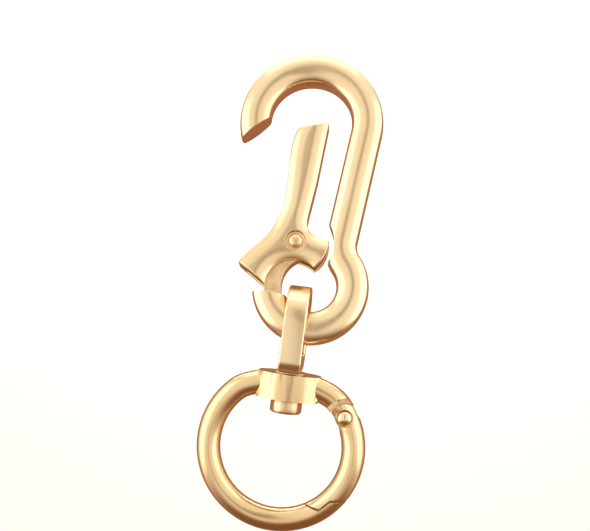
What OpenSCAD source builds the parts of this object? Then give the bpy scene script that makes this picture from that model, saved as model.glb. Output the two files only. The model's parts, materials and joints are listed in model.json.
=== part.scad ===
// Carabiner keyring: a gourd-shaped hook with a sprung lever gate, a swivel eye
// and a spring-gate ring. Millimetres. Front is -Y, up is +Z, and the origin is
// the seat at the inside top of the hook.

/* [Hook] */

// Radius of the upper arc's centreline
hook_radius = 10.95; // [10.6:0.05:11.3]
// Height of the upper arc's centre above the lower loop's centre
hook_rise = 32.8; // [32:0.1:34]
// Lean of the long strand off the vertical, in degrees
strand_lean = 12.5; // [11:0.5:14]
// Radius of the lower loop's centreline
loop_radius = 8; // [7.8:0.1:8.2]
// Radius of the waist bend's centreline
waist_radius = 6; // [5.6:0.1:6.4]
// Half the width of a strand at its front face
face_half = 2.75; // [2.6:0.05:2.9]
// Half the width of a strand at mid depth
belly_half = 3.1; // [3:0.05:3.3]
// Half the depth of a strand
strand_half_depth = 3.1; // [3:0.05:3.3]
// Thickness of the tongue that carries the gate
tongue_thickness = 3.1; // [2.9:0.1:3.2]

/* [Gate] */

// How far the gate stands open at rest, in degrees
gate_open = 27; // [0:1:32]
// Width of the slot in the fork
fork_slot = 3.4; // [3.35:0.05:3.6]
// Diameter of the gate's pivot pin
gate_pin_diameter = 2; // [1.8:0.1:2.2]
// Diameter of the pin's domed heads
gate_pin_head = 2.7; // [2.4:0.1:3]

/* [Swivel eye] */

// Swing of the lower chain out of the hook's plane, in degrees
chain_swing = 15; // [0:1:30]
// Lean of the lower chain within the hook's plane, in degrees
chain_lean = 7.5; // [0:0.5:12]
// Width of the eye's band
eye_width = 4.2; // [4:0.1:4.4]
// Thickness of the eye's band
eye_band = 1.9; // [1.7:0.1:2.1]
// Half the clear gap across the eye
eye_gap_half = 4.65; // [4.6:0.05:4.8]
// Diameter of the swivel rivet's head
rivet_head = 6; // [5.6:0.1:6.4]

/* [Ring] */

// Radius of the ring's centreline
ring_radius = 13.75; // [13.4:0.05:14.2]
// Diameter of the ring's rod
rod_diameter = 4.5; // [4.2:0.1:4.8]
// Width of the block that carries the swivel
block_width = 10.4; // [10:0.1:11]
// Diameter of the ring gate's hinge pin
hinge_pin_diameter = 1.8; // [1.6:0.1:2]

/* [Hidden] */

$fn = 48;
shaft_play = 0.04;
pin_fit = 0.01;
joint_lap = 0.2;
joint_inset = 0.015;
wide = 60;
seat_height = hook_rise + hook_radius - belly_half;
waist_reach = loop_radius + waist_radius;
strand_offset = hook_radius - hook_rise * sin(strand_lean);
waist_angle = acos((strand_offset + waist_radius) / waist_reach) - strand_lean;
waist_centre = [waist_reach * cos(waist_angle), waist_reach * sin(waist_angle)];
strand_top = [hook_radius * cos(strand_lean), hook_rise - hook_radius * sin(strand_lean)];
strand_foot = waist_centre + waist_radius * [-cos(strand_lean), sin(strand_lean)];
strand_run = strand_foot - strand_top;
strand_length = norm(strand_run);
wall_half = 2.1;

// The hook's tongue, and the cuts at its mouth and step
gate_pivot = [-2.8, 8.5];
hub_radius = 2.4;
band_outer = 8.8;
band_inner = 5.5;
band_start = 110;
band_end = 205;
mouth_point = [-8.1, 33.5];
mouth_slope = 37.4;
step_point = [-4.9, -1.9];
step_slope = -7.6;
socket_radius = 7.3;
spring_seat = 0.5;
spring_pocket = 1.9;

// Main gate, drawn closed in the plane of the hook
gate_half_depth = 3;
stub_radius = 6.3;
stub_side = -0.6;
gate_recess = 3.8;
gate_recess_floor = 2.6;
gate_head_top = 3.3;
arch_centre = [0.7, 0.5];
arch_radius = 5.25;
arm_outline = [
  [-10.7, 0],
  [-9.8, 3],
  [-8.5, 5.9],
  [-8.1, 7.6],
  [-8, 10.5],
  [-8.4, 14.4],
  [-10.2, 19.3],
  [-12.2, 24.2],
  [-12.9, 28.7],
  [-8, 32.45],
  [-6.1, 26],
  [-4.7, 21.3],
  [-3.7, 17.1],
  [-3, 14.2],
  [-2.5, 12.7],
  [-1.6, 11.6],
  [-0.3, 11.1],
  [1.2, 11],
  [5, 12.3],
  [6, 5.5],
  [-4.1, -1.6],
];
slot_outline = [
  [-9.3, -8],
  [-9.1, -1],
  [-9.1, 1.6],
  [-8.2, 4.4],
  [-6.3, 7.2],
  [-6.2, 10],
  [-5, 12],
  [-3.4, 12.6],
  [-1.5, 12.2],
  [12, 12.2],
  [12, -8],
];

// Swivel, in the chain's own frame below the loop
chain_root = [-2.6, -7.56];
eye_top = 7.7;
eye_base = -8.5;
eye_foot = 2.6;
eye_outer_round = 2.5;
eye_inner_round = 1;
eye_sweep = 6.2;
collar_diameter = 6.4;
collar_height = 0.3;
collar_lift = 0.02;
shank_diameter = 3.2;
shank_cap = 4.2;
rivet_top = -13.9;
rivet_bottom = -16.4;

// Ring, in the chain's own frame; its angles run clockwise from the top
ring_drop = -23;
block_top = -8.85;
block_bottom = -13.75;
block_round = 8.2;
block_half_depth = 4.1;
block_reach = 18;
hinge_angle = 57.2;
hinge_arm = 13.4;
knuckle_radius = 2.9;
knuckle_gap = 0.1;
shoulder_room = 1.05;
ear_half = 2.2;
tongue_half = 0.85;
ear_inner = 0.95;
latch_gap = 0.35;
latch_clearance = 1.5;
latch_angles = [121.4, 129.7, 140.9, 150.5];
head_dome = 3.1;
hinge_shoulder = 2.28;
hinge_head_top = 3.1;
plunger_diameter = 1.6;
plunger_tip = 2.86;
spring_turn = 158;
spring_start = 4.1;
spring_end = 7.2;

// Front-view shapes are drawn in a flat plane, then stood upright.
module upright() {
  translate([0, 0, -seat_height])
    rotate([90, 0, 0])
      children();
}

// The lower chain hangs from the loop, swung back and leaning.
module chain() {
  translate([chain_root[0], 0, chain_root[1] - seat_height])
    rotate([chain_swing, chain_lean, 0])
      children();
}

function turned(angle, radius) = radius * [cos(angle), sin(angle)];

// One quarter of the strand's rounded section, corner to corner.
function strand_section(belly, face, depth) = [
  [belly, 0],
  [belly - 0.06, depth * 0.3],
  [(belly + face) / 2, depth * 0.55],
  [face - 0.05, depth * 0.74],
  [face * 0.82, depth * 0.87],
  [face * 0.5, depth * 0.96],
  [0, depth],
];

function mirrored_x(p) = [for (i = [len(p) - 2:-1:0]) [-p[i][0], p[i][1]]];
function mirrored_y(p) = [for (i = [len(p) - 2:-1:1]) [p[i][0], -p[i][1]]];

module strand_profile(inset) {
  quarter = strand_section(belly_half - inset, face_half - inset, strand_half_depth - inset);
  upper = concat(quarter, mirrored_x(quarter));
  polygon(concat(upper, mirrored_y(upper)));
}

// A bend of the strand in the flat plane, between two angles.
module strand_bend(centre, radius, from, to, inset) {
  translate([centre[0], centre[1], 0])
    rotate_extrude(angle = to - from, start = from)
      translate([radius, 0])
        strand_profile(inset);
}

module strand_straight() {
  translate([strand_top[0], strand_top[1], 0])
    rotate([0, 0, -strand_lean])
      rotate([90, 0, 0])
        translate([0, 0, -joint_lap])
          linear_extrude(strand_length + 2 * joint_lap)
            strand_profile(2 * joint_inset);
}

// A block that cuts a strand on the left, above or below a sloping line.
module left_cut(point, slope, side) {
  translate([point[0], point[1], 0])
    rotate([0, 0, slope])
      translate([3 - wide, side > 0 ? 0 : -wide, -wide / 2])
        cube([wide, wide, wide]);
}

module disc(centre, radius, low, high) {
  translate([centre[0], centre[1], low])
    cylinder(r = radius, h = high - low);
}

// A curved band inside the loop, with a round hub at the gate's pivot.
module tongue_plan() {
  difference() {
    circle(r = band_outer);
    circle(r = band_inner);
    polygon([
      [0, 0],
      turned(band_start, wide),
      [wide, wide],
      [wide, -wide],
      [-wide, -wide],
      turned(band_end, wide),
    ]);
  }
  translate(gate_pivot)
    circle(r = hub_radius);
}

module hook_body() {
  color("#e3c089")
    upright() {
      difference() {
        strand_bend([0, hook_rise], hook_radius, -strand_lean, 198, 0);
        left_cut(mouth_point, mouth_slope, -1);
      }
      difference() {
        union() {
          strand_straight();
          strand_bend(waist_centre, waist_radius, 180 - strand_lean, 182 + waist_angle, joint_inset);
        }
        disc(gate_pivot, socket_radius, -wall_half - 2, wall_half + 2);
      }
      difference() {
        strand_bend([0, 0], loop_radius, 184, 360 + waist_angle, 0);
        left_cut(step_point, step_slope, 1);
        disc(gate_pivot, socket_radius, -wall_half - 2, wall_half + 2);
      }
      difference() {
        translate([0, 0, -tongue_thickness / 2])
          linear_extrude(tongue_thickness)
            tongue_plan();
        disc(gate_pivot, gate_pin_diameter / 2 + shaft_play, -2, 2);
        disc(gate_pivot, spring_pocket, spring_seat, 2);
      }
    }
}

// Outline of the closed gate: the arm, the foot and the short stub opposite it.
module gate_plan() {
  difference() {
    polygon(arm_outline);
    translate(arch_centre)
      circle(r = arch_radius);
    difference() {
      translate([stub_side, -4])
        square([20, 20]);
      translate(gate_pivot)
        circle(r = stub_radius);
    }
  }
}

module gate_lever() {
  color("#e6c48e")
    upright()
      translate([gate_pivot[0], gate_pivot[1], 0])
        rotate([0, 0, -gate_open])
          translate([-gate_pivot[0], -gate_pivot[1], 0])
            difference() {
              translate([0, 0, -gate_half_depth])
                linear_extrude(2 * gate_half_depth)
                  gate_plan();
              translate([0, 0, -fork_slot / 2])
                linear_extrude(fork_slot)
                  polygon(slot_outline);
              disc(gate_pivot, gate_pin_diameter / 2, -wide, wide);
              disc(gate_pivot, gate_recess / 2, gate_recess_floor, wide);
              disc(gate_pivot, gate_recess / 2, -wide, -gate_recess_floor);
            }
}

// A round pin along the depth with a domed head at each end.
module domed_pin(shaft, head, shoulder, top) {
  dome_sag = top - shoulder;
  dome_radius = (dome_sag * dome_sag + head * head / 4) / (2 * dome_sag);
  translate([0, 0, -shoulder])
    cylinder(d = shaft, h = 2 * shoulder);
  for (side = [0, 1])
    mirror([0, 0, side])
      intersection() {
        translate([0, 0, top - dome_radius])
          sphere(r = dome_radius);
        translate([0, 0, shoulder])
          cylinder(d = head, h = dome_sag + 1);
      }
}

module gate_pivot_pin() {
  color("#dcb67c")
    upright()
      translate([gate_pivot[0], gate_pivot[1], 0])
        domed_pin(gate_pin_diameter, gate_pin_head, gate_recess_floor + 0.05, gate_head_top);
}

// Two turns of wire round the pin, as a sleeve with a groove between them.
module gate_spring() {
  inner = 1.15;
  outer = 1.75;
  height = 0.95;
  color("#b9bcc0")
    upright()
      translate([gate_pivot[0], gate_pivot[1], spring_seat + 0.05])
        difference() {
          cylinder(r = outer, h = height);
          translate([0, 0, -1])
            cylinder(r = inner, h = height + 2);
          translate([0, 0, height / 2])
            rotate_extrude()
              translate([outer + 0.2, 0])
                circle(d = 0.4);
        }
}

// The eye's outline across its width: a round top, and a flat foot with eased corners.
module eye_plan(half, foot, corner) {
  centre = eye_top - eye_gap_half - eye_band;
  translate([0, centre])
    circle(r = half);
  translate([-half, foot + corner])
    square([2 * half, centre - foot - corner]);
  translate([corner - half, foot])
    square([2 * (half - corner), 4]);
  for (side = [-1, 1])
    translate([side * (half - corner), foot + corner])
      circle(r = corner);
}

module swivel_eye() {
  color("#e6c48e")
    chain()
      difference() {
        rotate([90, 0, 90])
          translate([0, 0, -eye_width / 2])
            linear_extrude(eye_width)
              difference() {
                eye_plan(eye_gap_half + eye_band, eye_base, eye_outer_round);
                eye_plan(eye_gap_half, eye_base + eye_foot, eye_inner_round);
              }
        translate([0, 0, eye_base - 1])
          cylinder(d = shank_diameter, h = eye_foot + 2);
      }
}

// The thin washer between the eye and the block.
module swivel_collar() {
  color("#dcb67c")
    chain()
      translate([0, 0, block_top + collar_lift])
        difference() {
          cylinder(d = collar_diameter, h = collar_height);
          translate([0, 0, -1])
            cylinder(d = shank_diameter + 0.1, h = collar_height + 2);
        }
}

module swivel_rivet() {
  chamfer = 0.3;
  cap_base = eye_base + eye_foot + 0.05;
  color("#e3c089")
    chain() {
      translate([0, 0, rivet_bottom])
        cylinder(d1 = rivet_head - 2 * chamfer, d2 = rivet_head, h = chamfer);
      translate([0, 0, rivet_bottom + chamfer])
        cylinder(d = rivet_head, h = rivet_top - rivet_bottom - chamfer);
      translate([0, 0, rivet_top - 0.01])
        cylinder(d = shank_diameter, h = cap_base + 0.25 - rivet_top);
      translate([0, 0, cap_base])
        cylinder(d = shank_cap, h = 0.6);
    }
}

// A bend of the ring's rod; angles run clockwise from the top.
module rod_bend(from, to) {
  translate([0, 0, ring_drop])
    rotate([90, 0, 0])
      rotate_extrude(angle = to - from, start = 90 - to)
        translate([ring_radius, 0])
          circle(d = rod_diameter);
}

function ring_point(angle, radius) = [radius * sin(angle), ring_drop + radius * cos(angle)];

module ring_flat(low, high, points) {
  rotate([90, 0, 0])
    translate([0, 0, low])
      linear_extrude(high - low)
        polygon(points);
}

module ring_disc(angle, arm, radius, low, high) {
  centre = ring_point(angle, arm);
  translate([centre[0], 0, centre[1]])
    rotate([90, 0, 0])
      translate([0, 0, low])
        cylinder(r = radius, h = high - low);
}

// The seam of the half lap at the latch, from the inside of the ring outwards.
function lap_seam(turn, sink) = [
  ring_point(latch_angles[3] + 2 + turn, ring_radius - rod_diameter),
  ring_point(latch_angles[3] + turn, ring_radius - rod_diameter / 2),
  ring_point(latch_angles[2] + turn, ring_radius - sink),
  ring_point(latch_angles[1] + turn, ring_radius - sink),
  ring_point(latch_angles[0] + turn, ring_radius + rod_diameter / 2),
  ring_point(latch_angles[0] - 2 + turn, ring_radius + rod_diameter),
];

function ring_points(pairs) = [for (p = pairs) ring_point(p[0], p[1])];

// Beyond the seam on each side, well clear of the rod.
gate_side = ring_points([[100, 26], [100, 7], [140, 7]]);
body_side = ring_points([[118, 26], [150, 30], [190, 30], [190, 4], [165, 4]]);

// A line from the hinge down into the gate's rod, for its spring.
module spring_axis() {
  centre = ring_point(hinge_angle, hinge_arm);
  translate([centre[0], 0, centre[1]])
    rotate([0, spring_turn, 0])
      children();
}

// The block's faces bulge to the front and back like a barrel's.
module ring_block() {
  intersection() {
    translate([-block_width / 2, -block_half_depth, block_bottom])
      cube([block_width, 2 * block_half_depth, block_top - block_bottom]);
    for (side = [-1, 1])
      translate([0, side * (block_half_depth - block_round), block_bottom - 1])
        cylinder(r = block_round, h = block_top - block_bottom + 2);
  }
}

// The tongue at the ring's end: a round knuckle, and a neck back into the rod.
module hinge_tongue() {
  ring_disc(hinge_angle, hinge_arm, knuckle_radius - knuckle_gap, -tongue_half, tongue_half);
  ring_flat(-tongue_half, tongue_half, ring_points([[57.5, 12.2], [57.5, 15.2], [36, 16], [36, 11.5]]));
}

module ring_body() {
  color("#e3c089")
    chain()
      difference() {
        union() {
          rod_bend(-244, -block_reach);
          rod_bend(block_reach, 57);
          ring_block();
        }
        difference() {
          ring_disc(hinge_angle, hinge_arm, knuckle_radius + shoulder_room, -9, 9);
          hinge_tongue();
        }
        ring_disc(hinge_angle, hinge_arm, hinge_pin_diameter / 2 + shaft_play, -9, 9);
        translate([0, 0, block_top])
          cylinder(r = eye_sweep, h = 6);
        ring_flat(-4, 4, concat(lap_seam(0, 0), gate_side));
        translate([0, 0, block_bottom - 1])
          cylinder(d = shank_diameter + 2 * shaft_play, h = 8);
      }
}

module ring_gate() {
  color("#e6c48e")
    chain()
      difference() {
        union() {
          rod_bend(60, 152);
          ring_disc(hinge_angle, hinge_arm, knuckle_radius, -ear_half, ear_half);
        }
        ring_disc(hinge_angle, hinge_arm, knuckle_radius + knuckle_gap, -ear_inner, ear_inner);
        ring_disc(hinge_angle, hinge_arm, hinge_pin_diameter / 2 + pin_fit, -9, 9);
        ring_flat(-4, 4, concat(lap_seam(-latch_clearance, latch_gap), body_side));
        spring_axis()
          cylinder(d = plunger_diameter + 0.1, h = spring_end + 0.05);
      }
}

module ring_gate_pin() {
  centre = ring_point(hinge_angle, hinge_arm);
  color("#dcb67c")
    chain()
      translate([centre[0], 0, centre[1]])
        rotate([90, 0, 0])
          domed_pin(hinge_pin_diameter, head_dome, hinge_shoulder, hinge_head_top);
}

module ring_gate_spring() {
  turns = 5;
  pitch = (spring_end - spring_start) / turns;
  color("#b9bcc0")
    chain()
      spring_axis()
        difference() {
          translate([0, 0, spring_start])
            cylinder(d = plunger_diameter - 0.1, h = spring_end - spring_start);
          translate([0, 0, spring_start - 1])
            cylinder(d = plunger_diameter - 0.9, h = spring_end - spring_start + 2);
          for (turn = [0:turns - 2])
            translate([0, 0, spring_start + pitch * (turn + 1)])
              rotate_extrude()
                translate([plunger_diameter / 2, 0])
                  circle(d = 0.3);
        }
}

module ring_gate_plunger() {
  color("#b9bcc0")
    chain()
      spring_axis() {
        translate([0, 0, plunger_tip + 0.3])
          cylinder(d = plunger_diameter, h = spring_start - plunger_tip - 0.32);
        translate([0, 0, plunger_tip])
          cylinder(d1 = plunger_diameter - 0.5, d2 = plunger_diameter, h = 0.3);
      }
}

hook_body();
gate_lever();
gate_pivot_pin();
gate_spring();
swivel_eye();
swivel_collar();
swivel_rivet();
ring_body();
ring_gate();
ring_gate_pin();
ring_gate_spring();
ring_gate_plunger();
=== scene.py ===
import json
import math

import bmesh
import bpy
from mathutils import Matrix, Vector


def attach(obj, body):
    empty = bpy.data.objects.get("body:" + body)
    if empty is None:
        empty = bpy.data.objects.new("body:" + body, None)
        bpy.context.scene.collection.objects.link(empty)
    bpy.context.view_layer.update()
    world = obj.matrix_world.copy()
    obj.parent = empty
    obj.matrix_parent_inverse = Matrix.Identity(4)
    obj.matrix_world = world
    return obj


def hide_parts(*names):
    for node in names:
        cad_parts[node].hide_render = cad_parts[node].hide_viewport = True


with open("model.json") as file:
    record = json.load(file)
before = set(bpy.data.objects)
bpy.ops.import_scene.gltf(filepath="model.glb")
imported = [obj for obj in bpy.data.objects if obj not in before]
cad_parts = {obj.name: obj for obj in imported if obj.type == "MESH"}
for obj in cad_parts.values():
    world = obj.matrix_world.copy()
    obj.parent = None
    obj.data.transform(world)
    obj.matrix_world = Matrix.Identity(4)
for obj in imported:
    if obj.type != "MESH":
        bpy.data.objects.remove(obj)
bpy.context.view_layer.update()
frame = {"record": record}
mm = 0.001
past = 9 # cutting blocks reach this far past the metal, in mm

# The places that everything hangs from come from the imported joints.
joints = {j["name"]: j for j in frame["record"]["behaviour"]["joints"]}
gatePivot = Vector(joints["gate_pivot"]["pos_m"])
loopPoint = Vector(joints["eye_swing"]["pos_m"])
chainAcross = Vector(joints["eye_swing"]["axis"])
chainUp = Vector(joints["swivel_turn"]["axis"])
chainBack = chainUp.cross(chainAcross)
seatHeight = 40.65 # the hook's seat above the lower loop's centre, in mm

chainTurn = Matrix((chainAcross, chainBack, chainUp)).transposed().to_4x4()
chainPlace = Matrix.Translation(loopPoint) @ chainTurn @ Matrix.Scale(mm, 4)
hookPlace = Matrix.Translation((0, 0, -seatHeight * mm)) @ Matrix.Scale(mm, 4)


def meshObject(name, bm, place=None):
    if place is not None:
        bm.transform(place)
    mesh = bpy.data.meshes.new(name)
    bm.to_mesh(mesh)
    bm.free()
    obj = bpy.data.objects.new(name, mesh)
    bpy.context.scene.collection.objects.link(obj)
    return obj


def freeze(obj):
    # the modifiers' result becomes the mesh itself
    graph = bpy.context.evaluated_depsgraph_get()
    graph.update()
    mesh = bpy.data.meshes.new_from_object(obj.evaluated_get(graph), depsgraph=graph)
    obj.modifiers.clear()
    obj.data = mesh
    return obj


def drop(*objects):
    for obj in objects:
        bpy.data.objects.remove(obj, do_unlink=True)


def combine(obj, others, how="DIFFERENCE"):
    for other in others:
        cut = obj.modifiers.new("cut", "BOOLEAN")
        cut.operation = how
        cut.solver = "MANIFOLD"
        cut.object = other
        freeze(obj)
    drop(*others)
    return obj


def melt(obj, voxel, passes):
    # one skin over everything, with its edges eased as plating eases them
    skin = obj.modifiers.new("skin", "REMESH")
    skin.mode = "VOXEL"
    skin.voxel_size = voxel * mm
    ease = obj.modifiers.new("ease", "SMOOTH")
    ease.factor = 0.5
    ease.iterations = passes
    return freeze(obj)


def shadeByAngle(obj, degrees=40):
    bm = bmesh.new()
    bm.from_mesh(obj.data)
    for face in bm.faces:
        face.smooth = True
    for edge in bm.edges:
        edge.smooth = len(edge.link_faces) == 2 and edge.calc_face_angle(0) < math.radians(degrees)
    bm.to_mesh(obj.data)
    bm.free()
    return obj


def easeEdges(obj, width, degrees=40, steps=3):
    bevel = obj.modifiers.new("bevel", "BEVEL")
    bevel.width = width * mm
    bevel.segments = steps
    bevel.limit_method = "ANGLE"
    bevel.angle_limit = math.radians(degrees)
    bevel.use_clamp_overlap = True
    bevel.harden_normals = False
    return freeze(obj)


def prism(points, low, high, place=None, name="prism"):
    # a front-view outline, in x and z, given depth from low to high along y
    bm = bmesh.new()
    front = [bm.verts.new((x, low, z)) for x, z in points]
    back = [bm.verts.new((x, high, z)) for x, z in points]
    bm.faces.new(front)
    bm.faces.new(back[::-1])
    for i in range(len(points)):
        j = (i + 1) % len(points)
        bm.faces.new((front[j], front[i], back[i], back[j]))
    bmesh.ops.recalc_face_normals(bm, faces=bm.faces)
    return meshObject(name, bm, place)


def lathe(profile, place, turns=72, name="lathe"):
    # a closed outline of (radius, height) turned about the local up axis
    bm = bmesh.new()
    rings = []
    for radius, height in profile:
        if radius < 1e-6:
            rings.append([bm.verts.new((0, 0, height))])
        else:
            spots = [2 * math.pi * i / turns for i in range(turns)]
            rings.append([bm.verts.new((radius * math.cos(a), radius * math.sin(a), height)) for a in spots])
    pairs = list(zip(rings, rings[1:]))
    if len(rings[0]) > 1 and len(rings[-1]) > 1:
        pairs.append((rings[-1], rings[0]))
    for a, b in pairs:
        for i in range(turns):
            j = (i + 1) % turns
            corners = [a[i % len(a)], a[j % len(a)], b[j % len(b)], b[i % len(b)]]
            corners = list(dict.fromkeys(corners))
            if len(corners) > 2:
                bm.faces.new(corners)
    bmesh.ops.recalc_face_normals(bm, faces=bm.faces)
    return meshObject(name, bm, place)


def alongY(x, z, place):
    # stands a lathe's axis along the depth, its top towards the back
    return place @ Matrix.Translation((x, 0, z)) @ Matrix.Rotation(math.radians(-90), 4, "X")


def arc(centre, radius, start, end, count):
    angles = [math.radians(start + (end - start) * i / count) for i in range(count + 1)]
    return [(centre[0] + radius * math.cos(a), centre[1] + radius * math.sin(a)) for a in angles]


def pathObject(points, place, name):
    bm = bmesh.new()
    verts = [bm.verts.new((x, 0, z)) for x, z in points]
    for a, b in zip(verts, verts[1:]):
        bm.edges.new((a, b))
    return meshObject(name, bm, place)


def arcThrough(ax, ay, bx, by, sag, count):
    # a shallow arc from a to b that stands out by sag on its left
    span = math.hypot(bx - ax, by - ay)
    radius = (span * span / 4 + sag * sag) / (2 * sag)
    nx, ny = (by - ay) / span, -(bx - ax) / span
    points = []
    for i in range(count):
        t = (i / count - 0.5) * span
        rise = math.sqrt(radius * radius - t * t) - (radius - sag)
        x = (ax + bx) / 2 + (bx - ax) / span * t + nx * rise
        y = (ay + by) / 2 + (by - ay) / span * t + ny * rise
        points.append((x, y))
    return points


def softened(points, passes):
    # each point moves towards its two neighbours
    for _ in range(passes):
        threes = zip(points[-1:] + points[:-1], points, points[1:] + points[:1])
        points = [((a[0] + 2 * b[0] + c[0]) / 4, (a[1] + 2 * b[1] + c[1]) / 4) for a, b, c in threes]
    return points


section = {
    "faceHalf": 2.78, # half the front face's width
    "wallHalf": 2.15, # half the wall's depth
    "crown": 1.0, # how far the faces stand out past the walls
    "belly": 0.31, # and the walls past the faces' edges
    "softness": 3, # passes that round the corners
}


def strandOutline():
    f, w = section["faceHalf"], section["wallHalf"]
    right = arcThrough(f, -w, f, w, section["belly"], 22)
    back = arcThrough(f, w, -f, w, section["crown"], 32)
    left = arcThrough(-f, w, -f, -w, section["belly"], 22)
    front = arcThrough(-f, -w, f, -w, section["crown"], 32)
    return softened(right + back + left + front, section["softness"])


def outlineObject(points, name):
    bm = bmesh.new()
    # the depth runs along the section's own x
    verts = [bm.verts.new((v * mm, u * mm, 0)) for u, v in points]
    for a, b in zip(verts, verts[1:] + verts[:1]):
        bm.edges.new((a, b))
    return meshObject(name, bm)


def inputSocket(tree, name, kind, value=None):
    item = tree.interface.new_socket(name, in_out="INPUT", socket_type=kind)
    if value is not None:
        item.default_value = value
    return item


def node(tree, kind, **values):
    made = tree.nodes.new(kind)
    for key, value in values.items():
        setattr(made, key, value)
    return made


def mathNode(tree, how, a, b=None):
    made = node(tree, "ShaderNodeMath", operation=how)
    for slot, value in ((0, a), (1, b)):
        if value is None:
            continue
        if isinstance(value, (int, float)):
            made.inputs[slot].default_value = value
        else:
            tree.links.new(value, made.inputs[slot])
    return made.outputs[0]


def endTree(tree, given, result, swept):
    # every tree ends in real geometry with its material set
    real = node(tree, "GeometryNodeRealizeInstances")
    tree.links.new(swept.outputs[0], real.inputs[0])
    painted = node(tree, "GeometryNodeSetMaterial")
    tree.links.new(real.outputs[0], painted.inputs["Geometry"])
    tree.links.new(given.outputs["Material"], painted.inputs["Material"])
    tree.links.new(painted.outputs[0], result.inputs[0])
    return tree


def sweptSectionTree():
    # carries a drawn section along a drawn path
    tree = bpy.data.node_groups.new("sweptSection", "GeometryNodeTree")
    inputSocket(tree, "Path", "NodeSocketGeometry")
    inputSocket(tree, "Section", "NodeSocketObject")
    inputSocket(tree, "Width", "NodeSocketFloat", 1.0)
    inputSocket(tree, "Depth", "NodeSocketFloat", 1.0)
    inputSocket(tree, "Material", "NodeSocketMaterial")
    tree.interface.new_socket("Solid", in_out="OUTPUT", socket_type="NodeSocketGeometry")
    given = node(tree, "NodeGroupInput")
    result = node(tree, "NodeGroupOutput")
    curve = node(tree, "GeometryNodeMeshToCurve")
    tree.links.new(given.outputs["Path"], curve.inputs[0])
    drawn = node(tree, "GeometryNodeObjectInfo")
    tree.links.new(given.outputs["Section"], drawn.inputs["Object"])
    outline = node(tree, "GeometryNodeMeshToCurve")
    tree.links.new(drawn.outputs["Geometry"], outline.inputs[0])
    size = node(tree, "ShaderNodeCombineXYZ")
    tree.links.new(given.outputs["Depth"], size.inputs["X"])
    tree.links.new(given.outputs["Width"], size.inputs["Y"])
    size.inputs["Z"].default_value = 1
    shaped = node(tree, "GeometryNodeTransform")
    tree.links.new(outline.outputs[0], shaped.inputs["Geometry"])
    tree.links.new(size.outputs[0], shaped.inputs["Scale"])
    swept = node(tree, "GeometryNodeCurveToMesh")
    tree.links.new(curve.outputs[0], swept.inputs["Curve"])
    tree.links.new(shaped.outputs[0], swept.inputs["Profile Curve"])
    swept.inputs["Fill Caps"].default_value = True
    return endTree(tree, given, result, swept)


def coilTree():
    # a wound wire spring
    tree = bpy.data.node_groups.new("woundSpring", "GeometryNodeTree")
    inputSocket(tree, "Path", "NodeSocketGeometry")
    inputSocket(tree, "Turns", "NodeSocketFloat", 4.0)
    inputSocket(tree, "Coil radius", "NodeSocketFloat", 0.001)
    inputSocket(tree, "Height", "NodeSocketFloat", 0.001)
    inputSocket(tree, "Wire radius", "NodeSocketFloat", 0.0002)
    inputSocket(tree, "Material", "NodeSocketMaterial")
    tree.interface.new_socket("Wire", in_out="OUTPUT", socket_type="NodeSocketGeometry")
    given = node(tree, "NodeGroupInput")
    result = node(tree, "NodeGroupOutput")
    spiral = node(tree, "GeometryNodeCurveSpiral")
    spiral.inputs["Resolution"].default_value = 32
    tree.links.new(given.outputs["Turns"], spiral.inputs["Rotations"])
    tree.links.new(given.outputs["Coil radius"], spiral.inputs["Start Radius"])
    tree.links.new(given.outputs["Coil radius"], spiral.inputs["End Radius"])
    tree.links.new(given.outputs["Height"], spiral.inputs["Height"])
    wire = node(tree, "GeometryNodeCurvePrimitiveCircle")
    wire.inputs["Resolution"].default_value = 12
    tree.links.new(given.outputs["Wire radius"], wire.inputs["Radius"])
    swept = node(tree, "GeometryNodeCurveToMesh")
    tree.links.new(spiral.outputs[0], swept.inputs["Curve"])
    tree.links.new(wire.outputs["Curve"], swept.inputs["Profile Curve"])
    swept.inputs["Fill Caps"].default_value = True
    return endTree(tree, given, result, swept)


def useTree(obj, tree, values):
    modifier = obj.modifiers.new(tree.name, "NODES")
    modifier.node_group = tree
    sockets = [item for item in tree.interface.items_tree if item.item_type == "SOCKET"]
    ids = {item.name: item.identifier for item in sockets if item.in_out == "INPUT"}
    for name, value in values.items():
        modifier[ids[name]] = value
    return freeze(obj)


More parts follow.
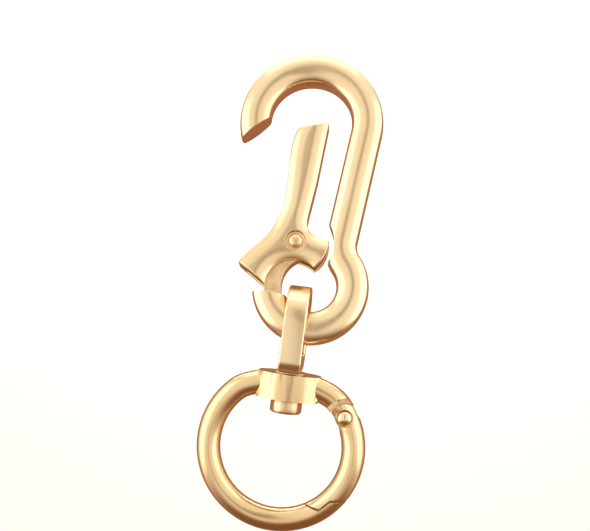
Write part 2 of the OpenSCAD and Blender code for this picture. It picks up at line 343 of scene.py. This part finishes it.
def satinMetal(name, look):
    # blasted and plated metal: a fine grain in the bump and gloss, a slow drift in the colour
    material = bpy.data.materials.new(name)
    material.use_nodes = True
    tree = material.node_tree
    shader = tree.nodes["Principled BSDF"]
    shader.inputs["Metallic"].default_value = 1
    where = node(tree, "ShaderNodeTexCoord")
    drift = node(tree, "ShaderNodeTexNoise")
    drift.inputs["Scale"].default_value = look["driftScale"]
    drift.inputs["Detail"].default_value = 4
    tree.links.new(where.outputs["Object"], drift.inputs["Vector"])
    tint = node(tree, "ShaderNodeMix", data_type="RGBA")
    tint.inputs["A"].default_value = (*look["pale"], 1)
    tint.inputs["B"].default_value = (*look["deep"], 1)
    spread = node(tree, "ShaderNodeMapRange")
    spread.inputs["From Min"].default_value = 0.35
    spread.inputs["From Max"].default_value = 0.65
    tree.links.new(drift.outputs["Fac"], spread.inputs["Value"])
    tree.links.new(spread.outputs["Result"], tint.inputs["Factor"])
    tree.links.new(tint.outputs["Result"], shader.inputs["Base Color"])
    grain = node(tree, "ShaderNodeTexNoise")
    grain.inputs["Scale"].default_value = look["grainScale"]
    grain.inputs["Detail"].default_value = 3
    grain.inputs["Roughness"].default_value = 0.6
    tree.links.new(where.outputs["Object"], grain.inputs["Vector"])
    gloss = node(tree, "ShaderNodeMapRange")
    gloss.inputs["From Min"].default_value = 0.3
    gloss.inputs["From Max"].default_value = 0.7
    gloss.inputs["To Min"].default_value = look["gloss"][0]
    gloss.inputs["To Max"].default_value = look["gloss"][1]
    tree.links.new(grain.outputs["Fac"], gloss.inputs["Value"])
    tree.links.new(gloss.outputs["Result"], shader.inputs["Roughness"])
    bump = node(tree, "ShaderNodeBump")
    bump.inputs["Strength"].default_value = look["bump"]
    bump.inputs["Distance"].default_value = look["bumpDepth"]
    tree.links.new(grain.outputs["Fac"], bump.inputs["Height"])
    tree.links.new(bump.outputs["Normal"], shader.inputs["Normal"])
    return material


goldLook = {
    "pale": (0.95, 0.75, 0.48),
    "deep": (0.89, 0.66, 0.39),
    "driftScale": 45,
    "grainScale": 9000,
    "gloss": (0.22, 0.29), # least and most roughness
    "bump": 0.14,
    "bumpDepth": 0.00002,
}
castLook = {
    "pale": (0.88, 0.66, 0.42),
    "deep": (0.74, 0.50, 0.29),
    "driftScale": 400,
    "grainScale": 2600,
    "gloss": (0.38, 0.52),
    "bump": 0.6,
    "bumpDepth": 0.0001,
}
steelLook = {
    "pale": (0.72, 0.71, 0.70),
    "deep": (0.55, 0.55, 0.56),
    "driftScale": 300,
    "grainScale": 4000,
    "gloss": (0.22, 0.34),
    "bump": 0.2,
    "bumpDepth": 0.00002,
}
ringTones = {"pale": (0.90, 0.67, 0.39), "deep": (0.80, 0.55, 0.29), "gloss": (0.2, 0.26)}
rivetTones = {"pale": (0.88, 0.66, 0.41), "deep": (0.80, 0.56, 0.33), "gloss": (0.26, 0.36)}
gold = satinMetal("satinGold", goldLook)
ringGold = satinMetal("satinGoldRing", {**goldLook, **ringTones})
rivetGold = satinMetal("satinGoldRivet", {**goldLook, **rivetTones})
polishedGold = satinMetal("polishedGoldRivet", {**goldLook, "gloss": (0.1, 0.16), "bump": 0.06})
castGold = satinMetal("roughCastGold", castLook)
steel = satinMetal("springSteel", steelLook)
sweptSection = sweptSectionTree()
strandSection = outlineObject(strandOutline(), "strandSection")
woundSpring = coilTree()
print("finishes and node trees ready")


def finishPiece(obj, body, material, replaced=()):
    obj.data.materials.clear()
    obj.data.materials.append(material)
    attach(obj, body)
    if replaced:
        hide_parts(*replaced)
    return obj


hook = {
    "radius": 10.95, # upper arc's centreline
    "rise": 32.8, # its centre above the lower loop's
    "lean": 12.5, # long strand off the vertical, in degrees
    "loop": 8.0, # the lower loop's centreline
    "waist": 6.0, # the bend between the long strand and the loop
    "mouth": (-8.1, 33.5), # a point on the cut that the gate's tip meets
    "mouthSlope": 37.4,
    "step": (-4.9, -1.9), # and on the cut that its foot meets
    "stepSlope": -7.6,
    "socket": 7.3, # the hollow that the gate's stub turns in
    "edge": 0.22,
}
pivotX, pivotZ = -2.8, 8.5 # the gate's pivot from the lower loop's centre


def sideCut(point, slope, above):
    # a block on the left of the hook, above or below a sloping line
    c, s = math.cos(math.radians(slope)), math.sin(math.radians(slope))
    low, high = (0, past) if above else (-past, 0)
    corners = [(-12, low), (3, low), (3, high), (-12, high)]
    turned = [(point[0] + x * c - z * s, point[1] + x * s + z * c) for x, z in corners]
    return prism(turned, -past, past, hookPlace)


def hookPlug(radius, low, high, x, z, turns):
    # a plug along the depth, for a bore or a seat in the hook or its gate
    return lathe([(0, low), (radius, low), (radius, high), (0, high)], alongY(x, z, hookPlace), turns)


def makeHook():
    reach = hook["loop"] + hook["waist"]
    lean = math.radians(hook["lean"])
    offset = hook["radius"] - hook["rise"] * math.sin(lean)
    turn = math.degrees(math.acos((offset + hook["waist"]) / reach)) - hook["lean"]
    waist = (reach * math.cos(math.radians(turn)), reach * math.sin(math.radians(turn)))
    upper = arc((0, hook["rise"]), hook["radius"], 200, -hook["lean"], 96)
    bend = arc(waist, hook["waist"], 180 - hook["lean"], 180 + turn, 20)
    lower = arc((0, 0), hook["loop"], turn, -178, 84)
    top, foot = upper[-1], bend[0]
    shares = [i / 28 for i in range(1, 28)]
    straight = [(top[0] + (foot[0] - top[0]) * t, top[1] + (foot[1] - top[1]) * t) for t in shares]
    obj = pathObject(upper + straight + bend + lower[1:], hookPlace, "hook")
    useTree(obj, sweptSection, {"Section": strandSection, "Material": gold})
    fixWinding(obj)
    socket = hookPlug(hook["socket"], -past, past, pivotX, pivotZ, 160)
    mouth = sideCut(hook["mouth"], hook["mouthSlope"], False)
    combine(obj, [mouth, sideCut(hook["step"], hook["stepSlope"], True), socket])
    easeEdges(obj, hook["edge"], 35)
    return shadeByAngle(obj, 32)


def fixWinding(obj):
    # joins the doubles and turns every face outwards
    bm = bmesh.new()
    bm.from_mesh(obj.data)
    bmesh.ops.remove_doubles(bm, verts=bm.verts, dist=1e-7)
    bmesh.ops.recalc_face_normals(bm, faces=bm.faces)
    bm.to_mesh(obj.data)
    bm.free()


hookStrand = makeHook()
finishPiece(hookStrand, "hook", gold, ["hook_body"])
print("hook", len(hookStrand.data.polygons))

tongue = {
    "half": 1.55, # half its thickness
    "outer": 8.8,
    "inner": 5.5,
    "hub": 2.4, # its round end about the pivot
    "bore": 1.06,
    "pocket": (1.9, -0.5), # the spring's hollow: its radius, and its floor from the middle
    "pinMark": 1.15, # the round mark's radius, its rim and its depth
    "pinRim": 0.14,
    "pinDepth": 0.09,
    "pinPlace": (178, 7.15), # its angle and distance from the lower loop's centre
    "edge": 0.12,
}


def makeTongue():
    outside = arc((0, 0), tongue["outer"], 205, 122, 30)
    hub = arc((pivotX, pivotZ), tongue["hub"], 186, -66, 40)
    outline = outside + hub + arc((0, 0), tongue["inner"], 110, 205, 36)
    obj = prism(outline, -tongue["half"], tongue["half"], hookPlace, "tongue")
    bore = hookPlug(tongue["bore"], -past, past, pivotX, pivotZ, 48)
    pocket = hookPlug(tongue["pocket"][0], -past, tongue["pocket"][1], pivotX, pivotZ, 48)
    # the shallow round groove that an ejector pin leaves
    angle, reach = tongue["pinPlace"]
    angle = math.radians(angle)
    markPlace = alongY(reach * math.cos(angle), reach * math.sin(angle), hookPlace)
    outer, floor = tongue["pinMark"], -tongue["half"] + tongue["pinDepth"]
    inner = outer - tongue["pinRim"]
    mark = lathe([(inner, -2), (outer, -2), (outer, floor), (inner, floor)], markPlace, 48)
    combine(obj, [bore, pocket, mark])
    easeEdges(obj, tongue["edge"], 40, 2)
    return shadeByAngle(obj, 35)


castTongue = makeTongue()
finishPiece(castTongue, "hook", castGold)
print("tongue", len(castTongue.data.polygons))

# the lever gate is shaped closed and then swung to where it is held
gate = {
    "open": 27, # how far it is held open, in degrees
    "wall": 2.15, # half the walls' depth
    "crown": 0.85, # how far the faces stand out past the walls
    "roundIn": 2.7, # how far in from the edge the faces still rise
    "recess": 1.9, # the rivet's round seat, and its floor from the middle
    "recessFloor": 2.3,
    "stub": 6.3,
    "stubEnd": (28, -29.8), # where its round end starts and stops, about the pivot
    "arch": (0.7, 0.5, 5.25), # the inner arch's centre and radius
    "archSpan": (68, 203.6),
    # the long sides, up the left from the foot and down the right from the tip
    "left": [
        (-10.75, 0.0), (-9.9, 2.8), (-8.75, 5.6), (-8.1, 7.9), (-7.95, 10.5),
        (-8.4, 14.2), (-9.9, 18.6), (-11.7, 23.3), (-12.6, 26.2), (-12.95, 28.7),
    ],
    "right": [
        (-8.0, 32.5), (-7.1, 29.4), (-6.0, 25.6), (-4.75, 21.3), (-3.7, 17.1), (-3.0, 14.2),
        (-2.4, 12.6), (-1.4, 11.5), (0.2, 11.0), (1.6, 11.1), (2.76, 11.46),
    ],
    # the sides run on past the cut ends, so that the faces stay full there
    "leftEnds": ((-11.6, -4), (-12.9, 36)),
    "rightEnds": ((-9.2, 37), (6, 12.4)),
    "archEnds": ((5.9, 2.4), (-3.6, -4)),
    "slot": 3.4, # the width of the channel over the tongue, and its outline
    "slotOutline": [
        (-9.3, -8), (-9.1, -1), (-9.1, 1.6), (-8.2, 4.4), (-6.3, 7.2), (-6.2, 10),
        (-5, 12), (-3.4, 12.6), (-1.5, 12.2), (12, 12.2), (12, -8),
    ],
    "voxel": 0.13,
    "ease": 3,
}


def throughPoints(stops, steps=8):
    # a smooth line through the stops
    line = []
    for i in range(len(stops) - 1):
        four = (stops[max(i - 1, 0)], stops[i], stops[i + 1], stops[min(i + 2, len(stops) - 1)])
        for k in range(steps):
            t = k / steps
            spot = []
            for p, q, r, s in zip(*four):
                bend = (2 * p - 5 * q + 4 * r - s) * t * t + (3 * q - p - 3 * r + s) * t ** 3
                spot.append(0.5 * (2 * q + (r - p) * t + bend))
            line.append(tuple(spot))
    return line + [stops[-1]]


def edgeDistance(x, z, lines):
    # how far a point is from the nearest of the lines
    nearest = 100
    for (ax, az), (bx, bz) in (pair for line in lines for pair in zip(line, line[1:])):
        dx, dz = bx - ax, bz - az
        t = max(0, min(1, ((x - ax) * dx + (z - az) * dz) / (dx * dx + dz * dz + 1e-9)))
        nearest = min(nearest, math.hypot(x - ax - dx * t, z - az - dz * t))
    return nearest


def crownFaces(obj, sides):
    # the faces swell from the long sides to the middle, as the hook's strand does
    for vertex in obj.data.vertices:
        x, y, z = vertex.co
        if abs(y) < gate["wall"] - 0.06:
            continue
        inward = min(1, edgeDistance(x, z, sides) / gate["roundIn"])
        vertex.co.y = math.copysign(abs(y) + gate["crown"] * (1 - (1 - inward) ** 2.2), y)


def makeGate():
    archX, archZ, archRadius = gate["arch"]
    left, right = throughPoints(gate["left"]), throughPoints(gate["right"])
    arch = arc((archX, archZ), archRadius, *gate["archSpan"], 48)
    outline = left + right + arc((pivotX, pivotZ), gate["stub"], *gate["stubEnd"], 24) + arch
    ended = ((left, gate["leftEnds"]), (right, gate["rightEnds"]), (arch, gate["archEnds"]))
    sides = [[first] + line + [last] for line, (first, last) in ended]
    obj = prism(outline, -gate["wall"], gate["wall"], None, "gateLever")
    melt(obj, gate["voxel"] / mm, 1)
    crownFaces(obj, sides)
    obj.data.transform(hookPlace)
    slotCut = prism(gate["slotOutline"], -gate["slot"] / 2, gate["slot"] / 2, hookPlace)
    depths = ((-past, -gate["recessFloor"]), (gate["recessFloor"], past))
    seats = [hookPlug(gate["recess"], low, high, pivotX, pivotZ, 64) for low, high in depths]
    combine(obj, [slotCut] + seats)
    melt(obj, gate["voxel"], gate["ease"])
    swing = Matrix.Rotation(math.radians(gate["open"]), 4, "Y")
    obj.data.transform(Matrix.Translation(gatePivot) @ swing @ Matrix.Translation(-gatePivot))
    return shadeByAngle(obj, 60)


leverGate = makeGate()
finishPiece(leverGate, "gate", gold, ["gate_lever"])
print("gate", len(leverGate.data.polygons))


def domed(radius, shoulder, top, shaft):
    # half an outline of a rivet with a domed head at each end
    sag = top - shoulder
    rim = 0.12
    angles = [math.radians(a) for a in range(0, 91, 6)]
    crown = [(radius * math.cos(a), shoulder + rim + (sag - rim) * math.sin(a)) for a in angles]
    half = [(shaft, shoulder), (radius - 0.06, shoulder)] + crown
    half[-1] = (0, top)
    return [(r, -h) for r, h in half[::-1]] + half


gateHeads = domed(radius=1.32, shoulder=2.40, top=3.2, shaft=0.98)
gateRivet = lathe(gateHeads, alongY(pivotX, pivotZ, hookPlace), 64, "gateRivet")
finishPiece(shadeByAngle(gateRivet, 45), "gate", rivetGold, ["gate_pivot_pin"])


def woundWire(name, sizes, place):
    # a coil standing on its place, wound by the tree from sizes in mm
    obj = pathObject([(0, 0), (0, 0.01)], None, name)
    lengths = {"Coil radius": sizes["radius"], "Height": sizes["height"], "Wire radius": sizes["wire"]}
    values = {key: value * mm for key, value in lengths.items()}
    useTree(obj, woundSpring, {"Turns": sizes["turns"], **values, "Material": steel})
    obj.data.transform(place)
    fixWinding(obj)
    return shadeByAngle(obj, 60)


gateCoil = {"turns": 2.0, "radius": 1.45, "height": 0.42, "wire": 0.2, "start": 0.76}
coilAxis = Matrix.Translation(gatePivot) @ Matrix.Rotation(math.radians(90), 4, "X")
gateSpring = woundWire("gateSpring", gateCoil, coilAxis @ Matrix.Translation((0, 0, gateCoil["start"] * mm)))
finishPiece(gateSpring, "hook", steel, ["gate_spring"])
print("pivot and spring")

eye = {
    "half": 4.65, # half the opening, across
    "band": 1.9,
    "width": 4.2,
    "top": 7.7, # heights are from the loop's strand
    "base": -8.5,
    "baseBand": 2.6,
    "outerCorner": 2.5,
    "innerCorner": 1,
    "edge": 0.38,
}


def makeEye():
    outerHalf = eye["half"] + eye["band"]
    centre = eye["top"] - outerHalf

    def archedOutline(half, base, corner):
        # a round top over a base with two rounded corners
        top = arc((0, centre), half, 0, 180, 48)
        left = arc((-half + corner, base + corner), corner, 180, 270, 14)
        return top + left + arc((half - corner, base + corner), corner, 270, 360, 14)

    outer = archedOutline(outerHalf, eye["base"], eye["outerCorner"])
    inner = archedOutline(eye["half"], eye["base"] + eye["baseBand"], eye["innerCorner"])
    bm = bmesh.new()
    half = eye["width"] / 2
    loops = []
    for side in (-half, half):
        loops.append([[bm.verts.new((side, y, z)) for y, z in line] for line in (outer, inner)])
    count = len(outer)
    for i in range(count):
        j = (i + 1) % count
        (lo, li), (ro, ri) = loops
        bm.faces.new((lo[i], lo[j], li[j], li[i]))
        bm.faces.new((ro[i], ri[i], ri[j], ro[j]))
        bm.faces.new((lo[i], ro[i], ro[j], lo[j]))
        bm.faces.new((li[i], li[j], ri[j], ri[i]))
    bmesh.ops.recalc_face_normals(bm, faces=bm.faces)
    obj = meshObject("swivelEye", bm, chainPlace)
    easeEdges(obj, eye["edge"], 50, 5)
    return shadeByAngle(obj, 50)


swivelEye = makeEye()
finishPiece(swivelEye, "eye", gold, ["swivel_eye"])

# the swivel rivet, from under its head up to the cap inside the eye; heights as the eye's
rivet = {"head": 3.0, "top": -13.9, "bottom": -16.4, "shank": 1.6, "cap": 2.1, "capBase": -5.85}


def makeSwivelRivet():
    head, top, bottom = rivet["head"], rivet["top"], rivet["bottom"]
    shank, cap, base = rivet["shank"], rivet["cap"], rivet["capBase"]
    face = [(0, bottom), (head - 0.55, bottom), (head - 0.28, bottom + 0.06), (head - 0.08, bottom + 0.22)]
    side = [(head, bottom + 0.5), (head, top - 0.15), (head - 0.08, top), (shank, top), (shank, base)]
    crown = [(cap, base), (cap, base + 0.35), (cap - 0.2, base + 0.55), (0, base + 0.6)]
    return shadeByAngle(lathe(face + side + crown, chainPlace, 80, "swivelRivet"), 40)


finishPiece(makeSwivelRivet(), "eye", rivetGold, ["swivel_rivet"])

collarOutline = [(1.66, -8.83), (3.1, -8.83), (3.2, -8.76), (3.2, -8.62), (3.1, -8.55), (1.66, -8.55)]
collar = lathe(collarOutline, chainPlace, 80, "swivelCollar")
finishPiece(shadeByAngle(collar, 40), "ring", rivetGold, ["swivel_collar"])
print("eye and rivet")

ring = {
    "drop": -23.0, # the ring's centre below the loop's strand
    "radius": 13.75,
    "rod": 2.25,
    "block": (5.2, 4.1, -8.85, -13.75), # half width, half depth, top and bottom
    "blockShoulder": (0.65, 1.5), # its ends stand out by this much, and half this deep
    "barrel": 8.2, # the radius of its front and back
    "hingeAngle": 57.2,
    "hingeArm": 13.4, # the hinge pin from the ring's centre
    "hingeBore": 0.94,
    "swivelBore": 1.64,
    "knuckle": 2.7, # the gate's round end about the pin
    "tongue": 0.85, # half the thickness of the slice between the gate's ears
    "tongueRound": 1.9,
    "latch": (121.4, 129.7, 140.9, 150.5), # angles of the half-lap's steps
    "gap": 0.35, # the latch's open seam
    "eyeSweep": 5.6, # the room cut above the block for the eye to turn in
    "settle": 0.85, # the rod's ends drop to the block's own height
    "shoulder": 1.05, # the hollow that the round end turns in, past the knuckle
    "stepHalf": 1.05,
    "gateSeat": (1.75, 1.35), # the rivet's seats: their radius, and their floor from the middle
    "edge": 0.16,
}


def ringPoint(angle, radius):
    # angles run clockwise from the top, seen from the front
    a = math.radians(angle)
    return (radius * math.sin(a), ring["drop"] + radius * math.cos(a))


rodAngles = [2 * math.pi * i / 56 for i in range(56)]
rodOutline = [(ring["rod"] * math.cos(a), ring["rod"] * math.sin(a)) for a in rodAngles]
rodSection = outlineObject(rodOutline, "rodSection")


def rod(start, end, name="rod"):
    steps = max(8, int(abs(end - start) / 2))
    points = []
    for i in range(steps + 1):
        angle = start + (end - start) * i / steps
        x, z = ringPoint(angle, ring["radius"])
        near = min(1, max(0, (46 - min(abs(angle), 360 - abs(angle))) / 26))
        points.append((x, z - ring["settle"] * near * near * (3 - 2 * near)))
    obj = pathObject(points, chainPlace, name)
    useTree(obj, sweptSection, {"Section": rodSection, "Material": ringGold})
    fixWinding(obj)
    return obj


hingeX, hingeZ = ringPoint(ring["hingeAngle"], ring["hingeArm"])
hingePlace = alongY(hingeX, hingeZ, chainPlace)


def hingePlug(radius, low, high, sides=72):
    # a plug along the depth, about the ring's hinge pin
    return lathe([(0, low), (radius, low), (radius, high), (0, high)], hingePlace, sides)


def lapSeam(turn, sink):
    # the half-lap's line, from inside the ring out to past its rod
    a, b, c, d = ring["latch"]
    r, t = ring["radius"], ring["rod"]
    steps = [(d + 2, r - 2 * t), (d, r - t), (c, r - sink), (b, r - sink), (a, r + t), (a - 2, r + 2 * t)]
    return [ringPoint(angle + turn, radius) for angle, radius in steps]


def makeBlock():
    half, depth, top, bottom = ring["block"]
    stand, ledge = ring["blockShoulder"]
    front = []
    for i in range(25):
        x = -half + 2 * half * i / 24
        front.append((x, -(depth - ring["barrel"] + math.sqrt(ring["barrel"] ** 2 - x * x))))
    front = [(-half - stand, -ledge)] + front + [(half + stand, -ledge)]
    outline = front + [(x, -y) for x, y in front[::-1]]
    bm = bmesh.new()
    low = [bm.verts.new((x, y, bottom)) for x, y in outline]
    high = [bm.verts.new((x, y, top)) for x, y in outline]
    bm.faces.new(low[::-1])
    bm.faces.new(high)
    for i in range(len(outline)):
        j = (i + 1) % len(outline)
        bm.faces.new((low[i], low[j], high[j], high[i]))
    bmesh.ops.recalc_face_normals(bm, faces=bm.faces)
    return meshObject("block", bm, chainPlace)


# runs from the hinge pin down the gate's rod
springAxis = chainPlace @ Matrix.Translation((hingeX, 0, hingeZ)) @ Matrix.Rotation(math.radians(158), 4, "Y")


def hingeTongue():
    # the slice of the ring's end that runs between the gate's ears
    knuckle = hingePlug(ring["tongueRound"], -ring["tongue"], ring["tongue"])
    spots = [(57.5, 12.2), (57.5, 15.2), (44, 15.5), (32, 15.2), (32, 11.6), (44, 11.9)]
    neck = prism([ringPoint(*spot) for spot in spots], -ring["tongue"], ring["tongue"], chainPlace)
    return combine(knuckle, [neck], "UNION")


def makeRingBody():
    obj = rod(-18, -244, "ringBody")
    combine(obj, [rod(18, 56), makeBlock()], "UNION")
    # a hollow shoulder with a lower step, which the gate's round end turns in
    outer, inner, step = ring["knuckle"] + ring["shoulder"], ring["knuckle"] + 0.12, ring["stepHalf"]
    cuts = ((outer, -past, -step), (outer, step, past), (inner, -past, past))
    combine(obj, [hingePlug(*cut) for cut in cuts])
    combine(obj, [hingeTongue()], "UNION")
    wide, floor = ring["eyeSweep"], ring["block"][2]
    sweep = lathe([(0, floor), (wide, floor), (wide, 0), (0, 0)], chainPlace, 96)
    bore = lathe([(0, -20), (ring["swivelBore"], -20), (ring["swivelBore"], 0), (0, 0)], chainPlace, 64)
    pinBore = hingePlug(ring["hingeBore"], -past, past, 48)
    away = [ringPoint(100, 26), ringPoint(100, 7), ringPoint(140, 7)]
    gateSide = prism(lapSeam(0, 0) + away, -4, 4, chainPlace)
    combine(obj, [sweep, bore, pinBore, gateSide])
    easeEdges(obj, ring["edge"], 38, 3)
    return shadeByAngle(obj, 35)


ringBody = makeRingBody()
finishPiece(ringBody, "ring", ringGold, ["ring_body"])
print("ring", len(ringBody.data.polygons))


# the small spring and pusher inside the gate's rod, from the hinge pin down
pusher = {"radius": 0.8, "tip": 2.86, "start": 4.1, "end": 7.2}


def makeRingGate():
    obj = rod(42, 152, "ringGate")
    # its end is rounded about the pin
    knuckle, angle = ring["knuckle"], ring["hingeAngle"]
    beyond = lathe([(knuckle, -past), (9, -past), (9, past), (knuckle, past)], hingePlace, 120)
    corners = [ringPoint(angle, 8), ringPoint(angle, 22), ringPoint(30, 24), ringPoint(30, 8)]
    combine(beyond, [prism(corners, -8, 8, chainPlace)], "INTERSECT")
    combine(obj, [beyond])
    fork = hingePlug(knuckle + 0.1, -ring["tongue"] - 0.1, ring["tongue"] + 0.1)
    away = [ringPoint(118, 26), ringPoint(150, 30), ringPoint(190, 30), ringPoint(190, 4), ringPoint(165, 4)]
    bodySide = prism(lapSeam(-1.5, ring["gap"]) + away, -4, 4, chainPlace)
    radius, seat = ring["gateSeat"]
    seats = [hingePlug(radius, low, high) for low, high in ((-past, -seat), (seat, past))]
    bore = hingePlug(0.91, -past, past)
    pocket = lathe([(0, 0), (0.86, 0), (0.86, pusher["end"]), (0, pusher["end"])], springAxis, 40)
    combine(obj, [fork, bodySide, bore, pocket] + seats)
    easeEdges(obj, ring["edge"], 38, 3)
    return shadeByAngle(obj, 35)


ringGate = makeRingGate()
finishPiece(ringGate, "ring_gate", ringGold, ["ring_gate"])
print("ring gate", len(ringGate.data.polygons))

hingeHeads = domed(radius=1.48, shoulder=1.4, top=2.65, shaft=0.89)
hingeRivet = lathe(hingeHeads, hingePlace, 64, "hingeRivet")
finishPiece(shadeByAngle(hingeRivet, 45), "ring_gate", polishedGold, ["ring_gate_pin"])


def makePusher():
    wide, tip, end = pusher["radius"], pusher["tip"], pusher["start"] - 0.02
    nose = [(0, tip), (wide - 0.35, tip), (wide - 0.08, tip + 0.18), (wide, tip + 0.4)]
    return lathe(nose + [(wide, end), (0, end)], springAxis, 40, "ringPusher")


ringPusher = makePusher()
finishPiece(shadeByAngle(ringPusher, 40), "ring_gate", steel, ["ring_gate_plunger"])

ringCoil = {"turns": 5.0, "radius": 0.6, "height": pusher["end"] - pusher["start"] - 0.3, "wire": 0.13}
coilFoot = springAxis @ Matrix.Translation((0, 0, pusher["start"] + 0.15)) @ Matrix.Scale(1 / mm, 4)
ringSpring = woundWire("ringSpring", ringCoil, coilFoot)
finishPiece(ringSpring, "ring_gate", steel, ["ring_gate_spring"])
print("hinge, pusher and spring")

studio = {
    "floorDrop": 0.115,
    "camera": (0.00572, -0.222488, -0.089461),
    "azimuth": -0.039,
    "elevation": 0.234,
    "roll": 0.012,
    "lens": 36 * 1200 / 590,
    "floor": (0.66, 0.655, 0.65),
    "backdrop": (0.87, 0.865, 0.85),
    # the room's colours from straight in front to straight behind
    "bands": [
        (0.01, (1.0, 0.96, 0.87)),
        (0.55, (1.0, 0.95, 0.85)),
        (0.80, (0.42, 0.20, 0.11)),
        (0.99, (0.36, 0.17, 0.10)),
    ],
    "under": (0.24, 0.115, 0.06), # and straight below
    # the dark patch that the middle of each face mirrors: its place and half size, across and up
    "patch": (0.03, 0.05, 0.11, 0.50),
    "patchColour": (0.27, 0.20, 0.14),
    "skyStrength": 1.05,
}


def plainMaterial(name, colour):
    material = bpy.data.materials.new(name)
    material.use_nodes = True
    tree = material.node_tree
    shader = tree.nodes["Principled BSDF"]
    shader.inputs["Base Color"].default_value = (*colour, 1)
    shader.inputs["Roughness"].default_value = 0.8
    return material


def sheetObject(name, rows, colour):
    bm = bmesh.new()
    rows = [[bm.verts.new(corner) for corner in row] for row in rows]
    for a, b in zip(rows, rows[1:]):
        bm.faces.new((a[0], a[1], b[1], b[0]))
    obj = meshObject(name, bm)
    for polygon in obj.data.polygons:
        polygon.use_smooth = True
    obj.data.materials.append(plainMaterial(name + "Paint", colour))
    obj.visible_glossy = False # the metal mirrors the room alone


def makeStage():
    # a pale floor, and a paler backdrop that stands behind it
    low = -studio["floorDrop"]
    flat = [((-1.6, y, low), (1.6, y, low)) for y in (-1.2, 0.9)]
    upright = [((-2.2, 0.9, z + low), (2.2, 0.9, z + low)) for z in (0, 2.2)]
    sheetObject("floor", flat, studio["floor"])
    sheetObject("backdrop", upright, studio["backdrop"])


def areaLight(name, place, target, size, energy, colour):
    light = bpy.data.lights.new(name, "AREA")
    light.shape = "RECTANGLE"
    light.size, light.size_y = size
    light.energy = energy
    light.color = colour
    obj = bpy.data.objects.new(name, light)
    bpy.context.scene.collection.objects.link(obj)
    obj.location = place
    obj.rotation_euler = (Vector(target) - Vector(place)).to_track_quat("-Z", "Y").to_euler()


def makeCamera():
    camera = bpy.data.cameras.new("camera")
    camera.sensor_width = 36
    camera.lens = studio["lens"]
    camera.clip_start = 0.005
    obj = bpy.data.objects.new("camera", camera)
    bpy.context.scene.collection.objects.link(obj)
    obj.location = studio["camera"]
    az, el, roll = studio["azimuth"], studio["elevation"], studio["roll"]
    ahead = Vector((math.sin(az) * math.cos(el), math.cos(az) * math.cos(el), math.sin(el)))
    right = Vector((math.cos(az), -math.sin(az), 0))
    up = right.cross(ahead)
    turnedRight = right * math.cos(roll) + up * math.sin(roll)
    turnedUp = up * math.cos(roll) - right * math.sin(roll)
    obj.rotation_euler = Matrix((turnedRight, turnedUp, -ahead)).transposed().to_euler()
    bpy.context.scene.camera = obj


makeStage()
makeCamera()
middle = (0, 0, -0.04)
areaLight("leftBox", (-0.34, -0.15, -0.02), middle, (0.34, 0.50), 0.6, (1.0, 0.98, 0.94))
areaLight("rightBox", (0.34, -0.13, -0.02), middle, (0.34, 0.50), 0.5, (1.0, 0.98, 0.95))
areaLight("topBox", (0.0, -0.08, 0.36), middle, (0.4, 0.3), 0.3, (1.0, 0.99, 0.97))
areaLight("backdropWash", (0.0, 0.25, 0.75), (0.0, 0.9, 0.35), (1.2, 0.3), 5.0, (1, 1, 1))


def makeRoom():
    # pale in front and brown behind and below, with the dark patch in front
    world = bpy.data.worlds.new("studio")
    world.use_nodes = True
    tree = world.node_tree
    heading = node(tree, "ShaderNodeTexCoord")
    split = node(tree, "ShaderNodeSeparateXYZ")
    tree.links.new(heading.outputs["Generated"], split.inputs[0])
    ahead = node(tree, "ShaderNodeMapRange")
    ahead.inputs["From Min"].default_value = -1
    tree.links.new(split.outputs["Y"], ahead.inputs["Value"])
    bands = node(tree, "ShaderNodeValToRGB")
    ramp = bands.color_ramp
    ramp.interpolation = "EASE"
    for place, colour in studio["bands"]:
        stop = ramp.elements.new(place)
        stop.color = (*colour, 1)
    # the two stops that a new ramp comes with
    ramp.elements.remove(ramp.elements[0])
    ramp.elements.remove(ramp.elements[-1])
    tree.links.new(ahead.outputs["Result"], bands.inputs["Fac"])
    below = node(tree, "ShaderNodeMapRange", interpolation_type="SMOOTHSTEP")
    below.inputs["From Min"].default_value = -0.35
    below.inputs["From Max"].default_value = -0.85
    tree.links.new(split.outputs["Z"], below.inputs["Value"])
    shade = node(tree, "ShaderNodeMix", data_type="RGBA")
    shade.inputs["B"].default_value = (*studio["under"], 1)
    tree.links.new(bands.outputs["Color"], shade.inputs["A"])
    tree.links.new(below.outputs["Result"], shade.inputs["Factor"])

    def squaredOffset(side, middle, half):
        # how far off the patch's middle, in half sizes, squared
        offset = mathNode(tree, "DIVIDE", mathNode(tree, "SUBTRACT", split.outputs[side], middle), half)
        return mathNode(tree, "POWER", mathNode(tree, "ABSOLUTE", offset), 2)

    patchX, patchZ, patchWide, patchTall = studio["patch"]
    across = squaredOffset("X", patchX, patchWide)
    upward = squaredOffset("Z", patchZ, patchTall)
    inPatch = node(tree, "ShaderNodeMapRange", interpolation_type="SMOOTHSTEP")
    inPatch.inputs["From Min"].default_value = 1.7
    inPatch.inputs["From Max"].default_value = 0.35
    tree.links.new(mathNode(tree, "ADD", across, upward), inPatch.inputs["Value"])
    inFront = mathNode(tree, "LESS_THAN", split.outputs["Y"], 0)
    patchAmount = mathNode(tree, "MULTIPLY", inPatch.outputs["Result"], inFront)
    patched = node(tree, "ShaderNodeMix", data_type="RGBA")
    patched.inputs["B"].default_value = (*studio["patchColour"], 1)
    tree.links.new(shade.outputs["Result"], patched.inputs["A"])
    tree.links.new(patchAmount, patched.inputs["Factor"])
    background = tree.nodes["Background"]
    tree.links.new(patched.outputs["Result"], background.inputs["Color"])
    background.inputs["Strength"].default_value = studio["skyStrength"]
    bpy.context.scene.world = world


makeRoom()
bpy.context.scene.view_settings.view_transform = "Standard"
drop(strandSection, rodSection)
print("studio ready")
